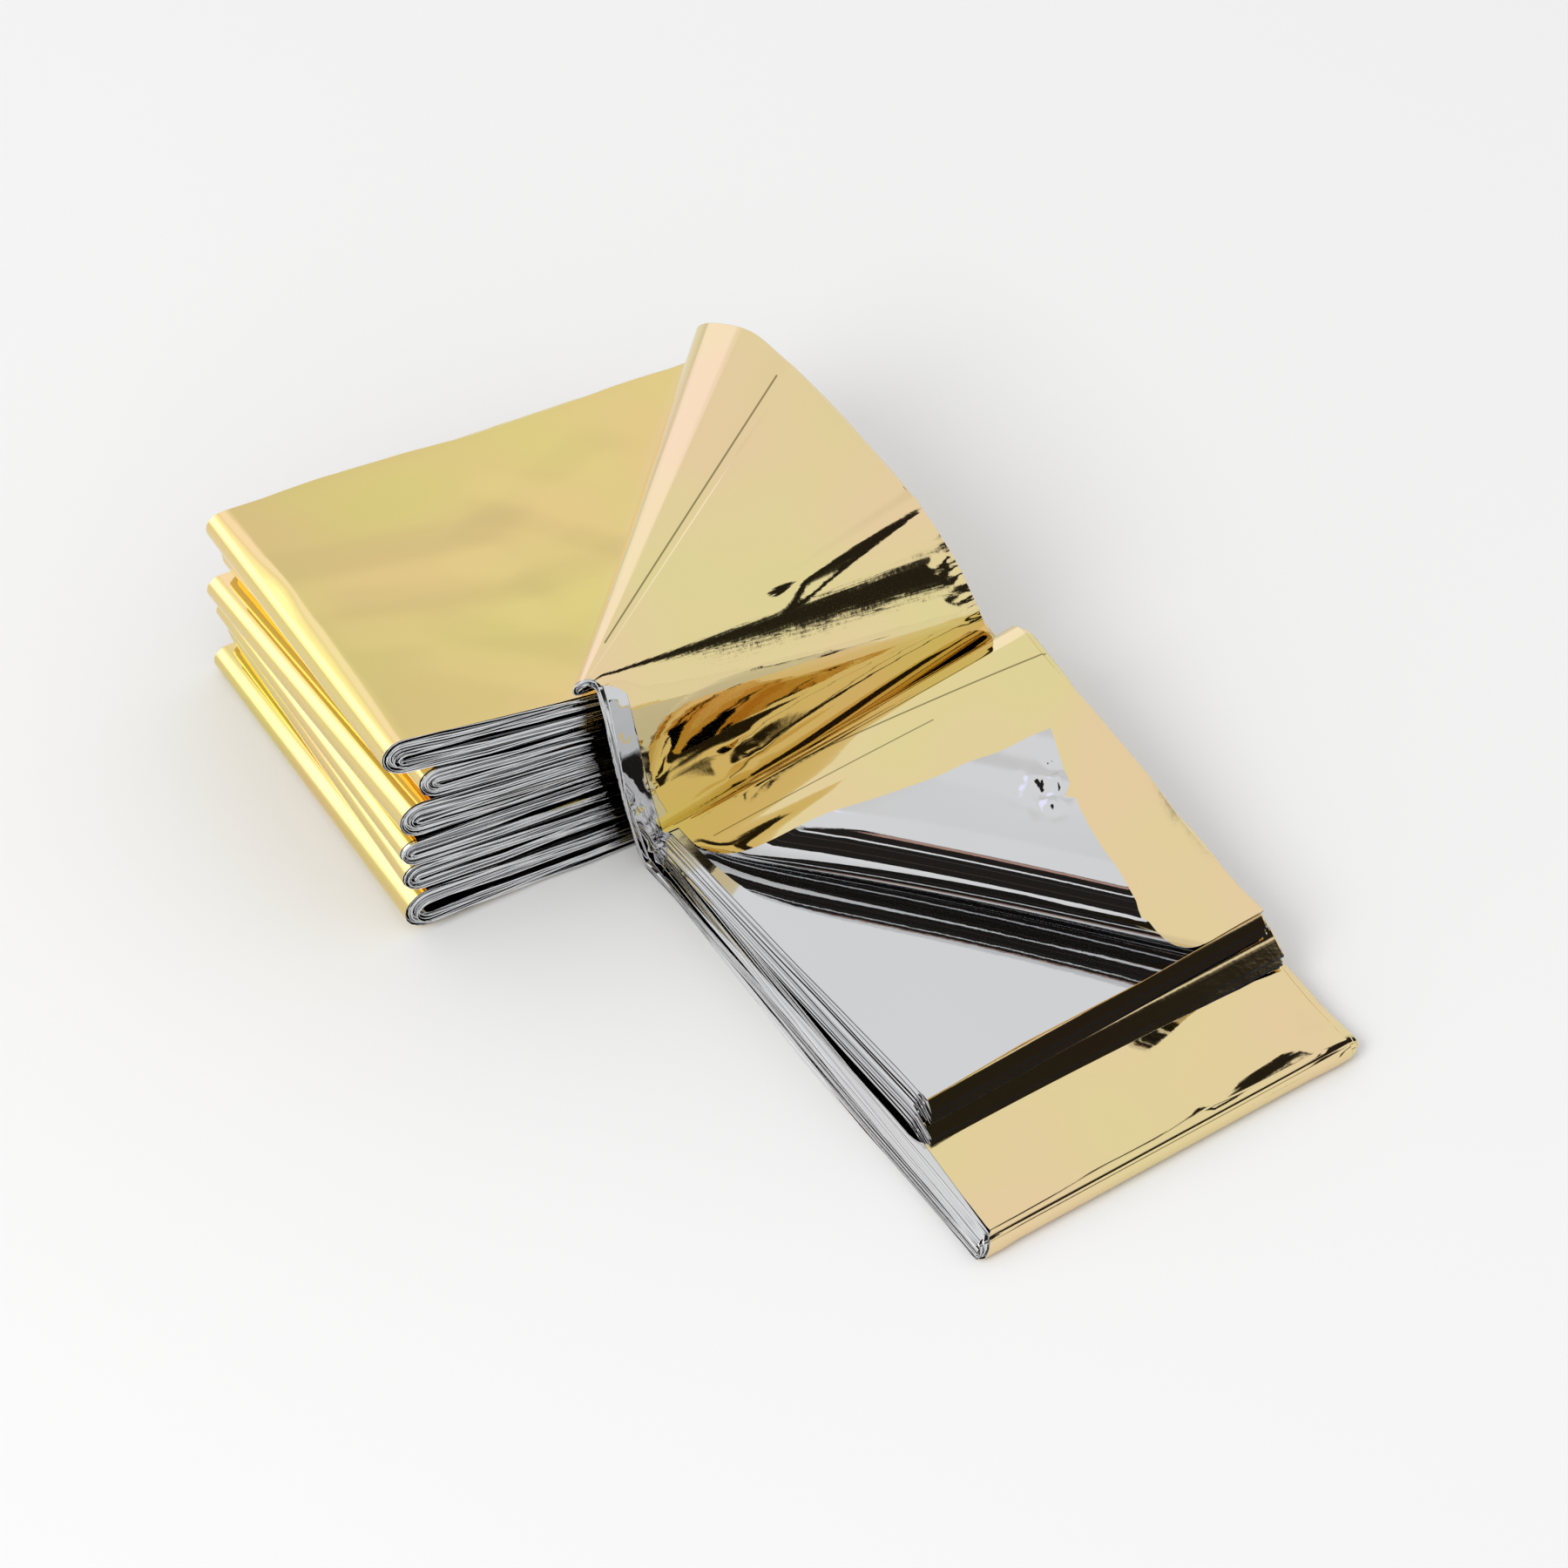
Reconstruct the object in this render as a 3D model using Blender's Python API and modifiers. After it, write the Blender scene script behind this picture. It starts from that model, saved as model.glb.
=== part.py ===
# Emergency foil blanket, partly unfolded.
#
# One large sheet of metallised film is first folded lengthwise into a flat strip of 18 plies, and the strip
# is then folded back and forth into a pack. Here the pack lies open: twelve panels are still stacked, the
# strip turns over in a diagonal roll on top of them, bends down over the stack's front, and lies on the
# surface as three more panels. The corner of the topmost ply is peeled back over a small cone.
#
# The strip is one solid. It is described by stations, straight lines from its front edge to its back edge,
# and each station has a thickness at both ends. All sizes below are in millimetres.

import bpy
import bmesh
from math import atan2, cos, pi, radians, sin, tan
from mathutils import Vector

MM = 0.001

# The strip
GAP = 0.5                     # air between two panels that lie on each other
LOOSE_GAP = 0.9               # least air between them at the springy left folds
LOOSE = 4.0                   # the strip is at most this thick where its plies stand loose
PRESSED = 2.9                 # thickness of the strip where it is pressed flat
FOOT = 0.02                   # the lowest face lies this far above zero before the part is centred
FLAT = 0.12                   # what lies lower than this above the surface is pressed flat on it
COLUMNS = 6                   # points across the strip

# The stack of twelve panels, seen in plan
PANELS = 12
FRONT_LEFT = Vector((-73.7, -40.6, 0.0))
BACK_LEFT = Vector((-116.6, 32.1, 0.0))
FRONT_HEADING = radians(29.0)
BACK_HEADING = radians(27.3)
FRONT_LENGTH = 110.0
BACK_LENGTH = 120.5
RIGHT_PITCH = PRESSED + GAP
SETTLE = 1.5                  # how fast the springy left folds settle towards the right

# The six folds at the stack's left end, from the top one down: the height of each fold's upper side at the
# front and back corner, and how far the fold stands back from the corner of the stack.
LEFT_FOLDS = (
    # top_front, top_back, inset_front, inset_back
    (57.0, 45.5, -3.0, 1.0),
    (47.0, 37.0, 4.5, 4.0),
    (38.0, 27.5, 0.0, 0.0),
    (27.5, 20.0, -1.0, 1.5),
    (20.5, 13.5, -0.5, 3.5),
    (12.5, 6.8, 0.0, 0.0),
)
RIGHT_INSETS = (1.0, 0.0, 2.5, 1.0, 3.0, 0.5, 1.5)

# The diagonal roll: the middle of the strip at its front point and its back point. Its plies are drawn
# together at the roll's narrow front end.
ROLL_NARROW = 1.4
ROLL_WIDE = 2.4
ROLL = (
    # front, back
    ((-36.4, -20.8, 51.6), (-14.2, 83.8, 44.2)),
    ((-40.0, -24.6, 53.6), (-17.2, 83.6, 47.6)),
    ((-40.6, -26.0, 55.8), (-14.4, 80.8, 51.6)),
    ((-39.6, -25.8, 56.8), (-7.0, 76.4, 51.2)),
    ((-38.6, -25.3, 56.9), (1.0, 70.2, 48.0)),
)

# The upper layer on top of the stack, from the crease beside the roll to the bend over the stack's edge
UPPER = (
    # front, back
    ((-38.0, -25.0, 56.8), (9.6, 59.4, 47.6)),
    ((-37.4, -24.8, 56.5), (19.2, 44.8, 47.2)),
    ((-36.8, -24.6, 55.9), (28.3, 31.0, 46.8)),
    ((-36.2, -24.4, 54.9), (35.4, 17.6, 45.4)),
    ((-35.7, -24.2, 53.2), (38.4, 11.2, 42.6)),
)

# The layer that hangs down in front of the stack to the crease at its foot
SLANT = (
    # front, back
    ((-35.0, -23.8, 49.4), (38.9, 12.2, 38.2)),
    ((-33.2, -22.8, 33.0), (40.2, 17.0, 29.5)),
    ((-30.9, -21.8, 15.0), (42.6, 21.2, 20.5)),
    ((-29.2, -21.4, 5.0), (44.4, 22.6, 15.8)),
    ((-27.4, -23.0, 1.5), (46.8, 19.4, 13.4)),
)

# The part that lies on the surface: corners of its three panels
END_FRONT = Vector((38.9, -123.9, 0.0))
END_BACK = Vector((112.2, -73.5, 0.0))
END_THICKNESS = 2.2
VALLEY_FRONT = Vector((-25.0, -22.5, 7.6))
VALLEY_BACK = Vector((47.0, 19.0, 24.0))
VALLEY_REACH_FRONT = 3.0
VALLEY_REACH_BACK = 5.0
MIDDLE_FRONT_RISE = 5.4       # height of the middle panel's centre beside the valley fold
MIDDLE_BACK_RISE = 20.2
TOP_FRONT_RISE = 10.4         # height of the top panel's centre there
TOP_BACK_RISE = 27.4
CUT_FRONT = Vector((26.3, -95.5, 10.4))
CUT_BACK = Vector((94.9, -49.6, 13.6))
CUT_THICKNESS = 7.0           # the loose plies spread apart at the cut end

# The peeled corner of the topmost ply, rolled over a cone
PEEL_APEX = Vector((-19.5, -24.9, 0.0))
PEEL_HEADING = radians(-17.2)
PEEL_CONE = radians(2.55)     # half angle of the cone
PEEL_THICKNESS = 1.0
PEEL_START = 20.0             # the fan of the peeled ply begins this far from the apex
PEEL_SHRINK = 0.08            # the free corner is drawn in by its wrinkles
PEEL_RAYS = 26
PEEL_STEPS = 16


def station(front, back, thick_front=PRESSED, thick_back=None):
    """One line across the strip, with the strip's thickness at its two ends."""
    thick_back = thick_front if thick_back is None else thick_back
    return (Vector(front), Vector(back), thick_front, thick_back)


def mix(a, b, share):
    return a + (b - a) * share


def between(first, last, share, ease=1.0):
    """A station part of the way between two others; the heights may settle faster than the plan."""
    fall = 1.0 - (1.0 - share) ** ease
    points = []
    for side in (0, 1):
        point = first[side].lerp(last[side], share)
        point.z = mix(first[side].z, last[side].z, fall)
        points.append(point)
    return station(points[0], points[1], mix(first[2], last[2], fall), mix(first[3], last[3], fall))


def run(first, last, steps, ease=1.0):
    """Stations of a flat panel from first to last, both included."""
    return [between(first, last, step / steps, ease) for step in range(steps + 1)]


def fold(first, last, reach_front, reach_back, steps=8):
    """A half turn from one station to the next, bulging by the reach at each edge."""
    stations = []
    for step in range(1, steps):
        turn = pi * step / steps
        ends = []
        for side, reach in ((0, reach_front), (1, reach_back)):
            middle = (first[side] + last[side]) / 2
            ends.append(middle + (first[side] - middle) * cos(turn) + reach * sin(turn))
        share = step / steps
        stations.append(station(ends[0], ends[1], mix(first[2], last[2], share), mix(first[3], last[3], share)))
    return stations


def smooth(stations, steps):
    """A smooth curve of stations through the given ones, the first and last included."""
    curve = []
    for index in range(len(stations) - 1):
        before = stations[max(index - 1, 0)]
        here, there = stations[index], stations[index + 1]
        after = stations[min(index + 2, len(stations) - 1)]
        for step in range(steps):
            t = step / steps
            ends = []
            for side in (0, 1):
                a, b, c, d = before[side], here[side], there[side], after[side]
                ends.append(0.5 * (2 * b + (c - a) * t + (2 * a - 5 * b + 4 * c - d) * t ** 2
                                   + (3 * b - a - 3 * c + d) * t ** 3))
            curve.append(station(ends[0], ends[1], mix(here[2], there[2], t), mix(here[3], there[3], t)))
    curve.append(stations[-1])
    return curve


def heading(angle):
    return Vector((cos(angle), sin(angle), 0.0))


def left_levels():
    """Centre height and thickness of each stacked panel at the left end, from the lowest panel up."""
    levels = []
    folds = list(reversed(LEFT_FOLDS))
    for number, (top_front, top_back, inset_front, inset_back) in enumerate(folds):
        lowest = FOOT - LOOSE_GAP / 2
        below_front, below_back = folds[number - 1][:2] if number else (lowest, lowest)
        for half in (0, 1):
            row = []
            for top, below in ((top_front, below_front), (top_back, below_back)):
                pitch = (top - below) / 2
                row.append((below + pitch * (half + 0.5), min(pitch - LOOSE_GAP, LOOSE), pitch))
            levels.append((row, inset_front, inset_back))
    return levels


def stack_station(level, share_front, share_back):
    """A station of one stacked panel; the shares run from its left end, 0, to its right end, 1."""
    (front_left, back_left), level_number = level
    right_height = FOOT + PRESSED / 2 + level_number * RIGHT_PITCH
    ends = []
    thick = []
    for corner, angle, length, share, (height, thickness) in (
            (FRONT_LEFT, FRONT_HEADING, FRONT_LENGTH, share_front, front_left[:2]),
            (BACK_LEFT, BACK_HEADING, BACK_LENGTH, share_back, back_left[:2])):
        loose = max(1.0 - share, 0.0) ** SETTLE
        point = corner + heading(angle) * length * share
        point.z = mix(right_height, height, loose)
        ends.append(point)
        thick.append(mix(PRESSED, thickness, loose))
    return station(ends[0], ends[1], thick[0], thick[1])


def stack():
    """The twelve stacked panels and the folds that join them, from the hidden end to the top panel."""
    levels = left_levels()
    path = []
    for number in range(PANELS):
        row, inset_front, inset_back = levels[number]
        level = (row, number)
        pitch_front = row[0][2]
        pitch_back = row[1][2]
        right_inset = RIGHT_INSETS[(number + 1) // 2] + RIGHT_PITCH / 2
        shares = [step / 8 for step in range(9)]
        panel = []
        for share in shares:
            share_front = mix(inset_front + pitch_front * 0.6, FRONT_LENGTH - right_inset, share) / FRONT_LENGTH
            share_back = mix(inset_back + pitch_back * 0.6, BACK_LENGTH - right_inset, share) / BACK_LENGTH
            panel.append(stack_station(level, share_front, share_back))
        leftward = number % 2 == 0
        if leftward:
            panel.reverse()
        if path:
            start, end = path[-1], panel[0]
            if leftward:
                reach_front = heading(FRONT_HEADING) * RIGHT_PITCH / 2
                reach_back = heading(BACK_HEADING) * RIGHT_PITCH / 2
            else:
                reach_front = heading(FRONT_HEADING) * -pitch_front * 0.6
                reach_back = heading(BACK_HEADING) * -pitch_back * 0.6
            path += fold(start, end, reach_front, reach_back)
        path += panel
    return path


def turn():
    """The hidden right fold on top of the stack, the layer under the roll, the roll and the upper layer."""
    inset = RIGHT_INSETS[-1] + RIGHT_PITCH / 2
    right_front = FRONT_LEFT + heading(FRONT_HEADING) * (FRONT_LENGTH - inset)
    right_back = BACK_LEFT + heading(BACK_HEADING) * (BACK_LENGTH - inset)
    height = FOOT + PRESSED / 2 + PANELS * RIGHT_PITCH + GAP
    start = station(right_front + Vector((0, 0, height)), right_back + Vector((0, 0, height)), ROLL_WIDE)
    roll = [station(front, back, ROLL_NARROW, ROLL_WIDE) for front, back in ROLL]
    upper = [station(front, back, ROLL_NARROW, PRESSED) for front, back in UPPER]
    slant = [station(front, back) for front, back in SLANT]
    slant[0] = station(slant[0][0], slant[0][1], ROLL_WIDE, PRESSED)
    path = run(start, roll[0], 8)[:-1]
    path += smooth(roll, 5)
    path += smooth([roll[-1]] + upper + slant, 4)[1:]
    return start, path


def lying():
    """The three panels that lie on the surface, from the crease at the stack's foot to the cut end."""
    forward = (END_FRONT - VALLEY_FRONT)
    forward.z = 0
    forward.normalize()
    half = END_THICKNESS / 2
    end_pitch = END_THICKNESS + GAP
    last = SLANT[-1]
    start = station(last[0], last[1])
    end_low = station(END_FRONT - forward * end_pitch * 0.8, END_BACK - forward * end_pitch * 0.8, END_THICKNESS)
    end_high = station(end_low[0], end_low[1], END_THICKNESS)
    for side in (0, 1):
        end_low[side].z = FOOT + half
        end_high[side].z = FOOT + half + end_pitch
    valley_back_from = forward * VALLEY_REACH_BACK
    valley_front_from = forward * VALLEY_REACH_FRONT
    middle = station(VALLEY_FRONT + valley_front_from, VALLEY_BACK + valley_back_from)
    top = station(middle[0], middle[1], PRESSED + 0.4)
    middle[0].z, middle[1].z = MIDDLE_FRONT_RISE, MIDDLE_BACK_RISE
    top[0].z, top[1].z = TOP_FRONT_RISE, TOP_BACK_RISE
    cut = station(CUT_FRONT, CUT_BACK, CUT_THICKNESS)
    path = run(start, end_low, 14, 1.6)[1:]
    path += fold(end_low, end_high, forward * end_pitch * 0.6, forward * end_pitch * 0.6)
    path += list(reversed(run(middle, end_high, 14, 1.5)))
    path += fold(middle, top, -valley_front_from, -valley_back_from)
    top_panel = run(top, cut, 10, 1.5)
    return path + top_panel, top_panel


def loft(name, stations):
    """The closed solid of a strip, from its stations."""
    count = len(stations)
    middles = [[stations[i][0].lerp(stations[i][1], j / (COLUMNS - 1)) for j in range(COLUMNS)]
               for i in range(count)]
    mesh = bmesh.new()
    rings = []
    for i in range(count):
        upper, lower = [], []
        for j in range(COLUMNS):
            along = middles[min(i + 1, count - 1)][j] - middles[max(i - 1, 0)][j]
            across = middles[i][min(j + 1, COLUMNS - 1)] - middles[i][max(j - 1, 0)]
            normal = along.cross(across).normalized()
            half = mix(stations[i][2], stations[i][3], j / (COLUMNS - 1)) / 2
            upper.append(mesh.verts.new((middles[i][j] + normal * half) * MM))
            lower.append(mesh.verts.new((middles[i][j] - normal * half) * MM))
        rings.append(upper + list(reversed(lower)))
    size = len(rings[0])
    for i in range(count - 1):
        for j in range(size):
            k = (j + 1) % size
            mesh.faces.new((rings[i][j], rings[i][k], rings[i + 1][k], rings[i + 1][j]))
    for ring in (rings[0], rings[-1]):
        for j in range(COLUMNS - 1):
            mesh.faces.new((ring[j], ring[j + 1], ring[size - 2 - j], ring[size - 1 - j]))
    return finish_mesh(name, mesh)


def finish_mesh(name, mesh):
    bmesh.ops.triangulate(mesh, faces=mesh.faces[:])
    bmesh.ops.recalc_face_normals(mesh, faces=mesh.faces[:])
    data = bpy.data.meshes.new(name)
    mesh.to_mesh(data)
    mesh.free()
    piece = bpy.data.objects.new(name, data)
    collection.objects.link(piece)
    return piece


def top_height(point, first, last):
    """Height of the top panel's upper side below a point of the plan."""
    along = last[0] - first[0]
    along.z = 0
    length = along.length
    along.normalize()
    across = Vector((-along.y, along.x, 0.0))
    width = (first[1] - first[0]).dot(across)
    offset = point - first[0]
    share = min(max(offset.dot(along) / length, 0.0), 1.0)
    side = min(max(offset.dot(across) / width, 0.0), 1.0)
    here = between(first, last, share, 1.5)
    return mix(here[0].z + here[2] / 2, here[1].z + here[3] / 2, side)


def peel(name, top_panel):
    """The peeled corner: the ply's flat outline, in rays from the apex, wrapped round the cone."""
    first, last = top_panel[0], top_panel[-1]
    corner = last[0] - PEEL_APEX
    corner.z = 0
    cut = last[1] - last[0]
    cut.z = 0
    cut.normalize()
    corner_turn = PEEL_HEADING - atan2(corner.y, corner.x)
    over = pi * sin(PEEL_CONE)
    mesh = bmesh.new()
    grid = []
    for ray in range(-1, PEEL_RAYS + 1):
        share = max(ray, 0) / PEEL_RAYS
        flat = share * corner_turn if ray >= 0 else 0.0
        spread = Vector((cos(PEEL_HEADING - flat), sin(PEEL_HEADING - flat), 0.0))
        reach = (corner.x * cut.y - corner.y * cut.x) / (spread.x * cut.y - spread.y * cut.x)
        row = []
        for step in range(PEEL_STEPS + 1):
            distance = mix(PEEL_START, reach, step / PEEL_STEPS)
            rise, sideways, plan = cone_point(distance, flat, over)
            if ray < 0:
                rise, sideways = -PEEL_THICKNESS, -0.8
            draw = 1 - PEEL_SHRINK * max(flat - over, 0) / (corner_turn - over)
            forward = Vector((cos(PEEL_HEADING), sin(PEEL_HEADING), 0.0))
            aside = Vector((forward.y, -forward.x, 0.0))
            point = PEEL_APEX + (forward * plan + aside * sideways) * draw
            point.z = top_height(point, first, last) + rise
            row.append(mesh.verts.new(point * MM))
        grid.append(row)
    for low, high in zip(grid, grid[1:]):
        for step in range(PEEL_STEPS):
            mesh.faces.new((low[step], low[step + 1], high[step + 1], high[step]))
    piece = finish_mesh(name, mesh)
    sheet = piece.modifiers.new("thickness", "SOLIDIFY")
    sheet.thickness = PEEL_THICKNESS * MM
    sheet.offset = 0.0
    return piece


def cone_point(distance, flat, over):
    """Height, sideways place and forward place of a sheet point wrapped round the cone."""
    around = min(flat, over) / sin(PEEL_CONE)
    radius = distance * sin(PEEL_CONE)
    if flat <= over:
        return radius * cos(PEEL_CONE) * (1 - cos(around)), radius * sin(around), distance * cos(PEEL_CONE) ** 2
    past = flat - over
    plan = distance * cos(past)
    return plan * tan(2 * PEEL_CONE), -distance * sin(past), plan


def material(name, colour, roughness):
    finish = bpy.data.materials.new(name)
    finish.use_nodes = True
    shader = finish.node_tree.nodes["Principled BSDF"]
    shader.inputs["Base Color"].default_value = (*colour, 1.0)
    shader.inputs["Metallic"].default_value = 1.0
    shader.inputs["Roughness"].default_value = roughness
    return finish


def centre_on_base(piece):
    """The origin is the middle of the part's underside."""
    points = [vertex.co for vertex in piece.data.vertices]
    low = [min(point[axis] for point in points) for axis in range(3)]
    high = [max(point[axis] for point in points) for axis in range(3)]
    shift = Vector(((low[0] + high[0]) / 2, (low[1] + high[1]) / 2, low[2]))
    for vertex in piece.data.vertices:
        vertex.co -= shift
        if vertex.co.z < FLAT * MM:
            vertex.co.z = 0.0
    print("origin in the plan, mm:", [round(value / MM, 3) for value in shift])
    print("size, mm:", [round((high[axis] - low[axis]) / MM, 2) for axis in range(3)])


for old in list(bpy.data.objects):
    bpy.data.objects.remove(old)
collection = bpy.data.collections.new("emergency_foil_blanket")
bpy.context.scene.collection.children.link(collection)

stacked = stack()
turn_start, turned = turn()
hidden_fold = fold(stacked[-1], turn_start, heading(FRONT_HEADING) * RIGHT_PITCH / 2,
                   heading(BACK_HEADING) * RIGHT_PITCH / 2)
laid, top_panel = lying()
blanket = loft("foil_blanket", stacked + hidden_fold + turned + laid)
flap = peel("peeled_corner", top_panel)

join = blanket.modifiers.new("join", "BOOLEAN")
join.operation = "UNION"
join.object = flap
view = bpy.context.evaluated_depsgraph_get()
blanket.data = bpy.data.meshes.new_from_object(blanket.evaluated_get(view))
blanket.modifiers.clear()
bpy.data.objects.remove(flap)

centre_on_base(blanket)
blanket.data.materials.clear()
blanket.data.materials.append(material("gold_foil", (0.86, 0.72, 0.36), 0.12))
blanket.data.materials.append(material("silver_foil", (0.80, 0.80, 0.82), 0.12))
print("triangles:", len(blanket.data.polygons), "stations:", len(stacked + hidden_fold + turned + laid))
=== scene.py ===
# %% [markdown]
# An emergency foil blanket, partly unfolded, as a lesson in bending one long sheet.
#
# The real object is a single sheet of metallised film, 1.6 m wide and 2.1 m long, gold on one side and silver
# on the other. It is folded lengthwise into a flat strip of 18 plies, and the strip is folded back and forth
# into a pack. This script builds that sheet as one mesh: first the path of the strip, then the plies that
# make it up, then the peeled corner, the creases, the two finishes, and last the light and the camera.

# %% Load the frame
from math import atan2, cos, pi, radians, sin

import bmesh
import bpy
import numpy as np
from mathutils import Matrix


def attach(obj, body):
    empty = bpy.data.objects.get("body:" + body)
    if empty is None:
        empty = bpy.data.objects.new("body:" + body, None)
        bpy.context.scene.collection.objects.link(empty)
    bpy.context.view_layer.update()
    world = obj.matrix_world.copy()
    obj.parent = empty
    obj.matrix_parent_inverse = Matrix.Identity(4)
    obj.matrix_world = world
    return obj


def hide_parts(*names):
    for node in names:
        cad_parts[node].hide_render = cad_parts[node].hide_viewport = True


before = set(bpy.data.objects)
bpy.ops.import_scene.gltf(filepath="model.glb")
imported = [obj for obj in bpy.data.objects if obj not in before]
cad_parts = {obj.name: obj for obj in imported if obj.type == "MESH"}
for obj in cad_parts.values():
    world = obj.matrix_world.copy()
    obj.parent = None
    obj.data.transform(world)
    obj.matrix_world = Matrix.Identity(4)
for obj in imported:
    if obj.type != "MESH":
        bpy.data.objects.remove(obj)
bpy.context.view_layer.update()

# %% [markdown]
# Lengths below are in millimetres, because the strip's folds are easiest to picture that way. They are placed
# in the plan of the photograph, whose centre is not the part's origin, so ORIGIN says where the origin lies.

# %% Driving sizes
MM = 0.001
ORIGIN = np.array((-2.646, -18.205, 0.02))
PLIES = 18                    # plies in the strip
GAP = 0.5                     # air between two pressed panels
LOOSE_GAP = 0.9               # least air between two panels at the springy left folds
LOOSE = 4.0                   # most thickness of the strip where its plies stand loose
PRESSED = 2.9                 # thickness of the strip where it is pressed flat
FILM = 0.05                   # thickness of the modelled film
FOOT = 0.02                   # the lowest film lies this far above the table

PANELS = 12                   # panels in the stack
FRONT_LEFT = np.array((-73.7, -40.6, 0.0))
BACK_LEFT = np.array((-116.6, 32.1, 0.0))
FRONT_HEADING = radians(29.0)
BACK_HEADING = radians(27.3)
FRONT_LENGTH = 110.0
BACK_LENGTH = 120.5
PITCH = PRESSED + GAP
SETTLE = 1.5                  # how fast the springy left folds settle towards the right
dice = np.random.default_rng(11)
print("strip:", PLIES, "plies,", PRESSED, "mm pressed")

# %% [markdown]
# The strip is described by lines that cross it from its front edge to its back edge. Each line is eight
# numbers: the front point, the back point, and the strip's thickness at both. A panel is a run of such lines,
# and a fold is a half turn of them. Curves or a skinned armature could carry a strip too, but crossing lines
# let every fold lean, fan or roll into a cone without any special case.

# %% Lines across the strip
SETTLING = np.array((0, 0, 1, 0, 0, 1, 1, 1), bool)


def line(front, back, thick_front=PRESSED, thick_back=None):
    thick_back = thick_front if thick_back is None else thick_back
    return np.array((*front, *back, thick_front, thick_back), float)


def heading(angle):
    return np.array((cos(angle), sin(angle), 0.0))


def mix(a, b, share):
    return a + (b - a) * share


print("a line across the strip:", len(SETTLING), "numbers")

# %% Panels and folds
def run(first, last, shares, ease=1.0):
    """A flat panel; its heights and thicknesses may settle faster than its plan."""
    if isinstance(shares, int):
        shares = np.linspace(0, 1, shares + 1)
    lines = []
    for share in shares:
        fall = 1 - (1 - share) ** ease
        lines.append(first + (last - first) * np.where(SETTLING, fall, share))
    return lines


def fold(first, last, reach_first, reach_last, steps=8):
    """A half turn from one line to the next, without its two ends; it reaches out as the two panels point."""
    turning = np.array((1, 1, 1, 1, 1, 1, 0, 0), bool)
    middle = (first + last) / 2
    lines = []
    for share in np.arange(1, steps) / steps:
        reach = mix(reach_first, reach_last, share)
        turned = middle + (first - middle) * cos(pi * share) + reach * sin(pi * share)
        lines.append(np.where(turning, turned, mix(first, last, share)))
    return lines


def reach_along(direction_front, direction_back, front, back):
    """How far a fold reaches past its panels, at the front and the back edge."""
    unit_front = direction_front / np.linalg.norm(direction_front)
    unit_back = direction_back / np.linalg.norm(direction_back)
    return np.concatenate((unit_front * front, unit_back * back, (0.0, 0.0)))


def panel_reach(a, b, front, back):
    """The reach of a fold that goes on in the direction from line a to line b."""
    return reach_along((b - a)[:3], (b - a)[3:6], front, back)


print("panels and folds ready")

# %% Smooth curves and the strip itself
def smooth(lines, steps):
    """A smooth curve through the given lines."""
    curve = []
    for index in range(len(lines) - 1):
        a = lines[max(index - 1, 0)]
        b, c = lines[index], lines[index + 1]
        d = lines[min(index + 2, len(lines) - 1)]
        for t in np.arange(steps) / steps:
            curve.append(0.5 * (2 * b + (c - a) * t + (2 * a - 5 * b + 4 * c - d) * t ** 2
                                + (3 * b - a - 3 * c + d) * t ** 3))
    return curve + [lines[-1]]


strip = []
zones = []


def lay(zone, lines):
    """Add lines to the strip and remember which part of it they belong to."""
    strip.extend(lines)
    zones.extend([zone] * len(lines))


print("helpers ready")

# %% [markdown]
# The stack: twelve panels, folded six times at the left. In the photograph the folds are springy and uneven,
# the upper ones puffed to a centimetre, so a short table gives each fold's height and how far it stands back.

# %% The stack
LEFT_FOLDS = (
    # top_front, top_back, inset_front, inset_back
    (57.0, 45.5, -3.0, 1.0),
    (47.0, 37.0, 4.5, 4.0),
    (38.0, 27.5, 0.0, 0.0),
    (27.5, 20.0, -1.0, 1.5),
    (20.5, 13.5, -0.5, 3.5),
    (12.5, 6.8, 0.0, 0.0),
)
RIGHT_INSETS = (1.0, 0.0, 2.5, 1.0, 3.0, 0.5, 1.5)
LEAN = 0.6                    # a left fold bulges by this share of its pitch
TOP_STEPS = 26                # the panel that shows gets finer lines than the hidden ones
HIDDEN_STEPS = 6


def left_levels():
    """For each panel from the lowest up: centre height, thickness and pitch at both corners, and insets."""
    levels = []
    folds = LEFT_FOLDS[::-1]
    lowest = FOOT - LOOSE_GAP / 2
    for number, (top_front, top_back, inset_front, inset_back) in enumerate(folds):
        below_front, below_back = folds[number - 1][:2] if number else (lowest, lowest)
        for half in (0, 1):
            corners = []
            for top, below in ((top_front, below_front), (top_back, below_back)):
                pitch = (top - below) / 2
                corners.append((below + pitch * (half + 0.5), min(pitch - LOOSE_GAP, LOOSE), pitch))
            levels.append((corners, inset_front, inset_back))
    return levels


def stack_line(corners, number, share_front, share_back):
    right_height = FOOT + PRESSED / 2 + number * PITCH
    points, thick = [], []
    for corner, angle, length, share, (height, thickness, _) in (
            (FRONT_LEFT, FRONT_HEADING, FRONT_LENGTH, share_front, corners[0]),
            (BACK_LEFT, BACK_HEADING, BACK_LENGTH, share_back, corners[1])):
        loose = max(1 - share, 0.0) ** SETTLE
        point = corner + heading(angle) * length * share
        point[2] = mix(right_height, height, loose)
        points.append(point)
        thick.append(mix(PRESSED, thickness, loose))
    return line(*points, *thick)


print("levels at the left:", len(left_levels()))

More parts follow.
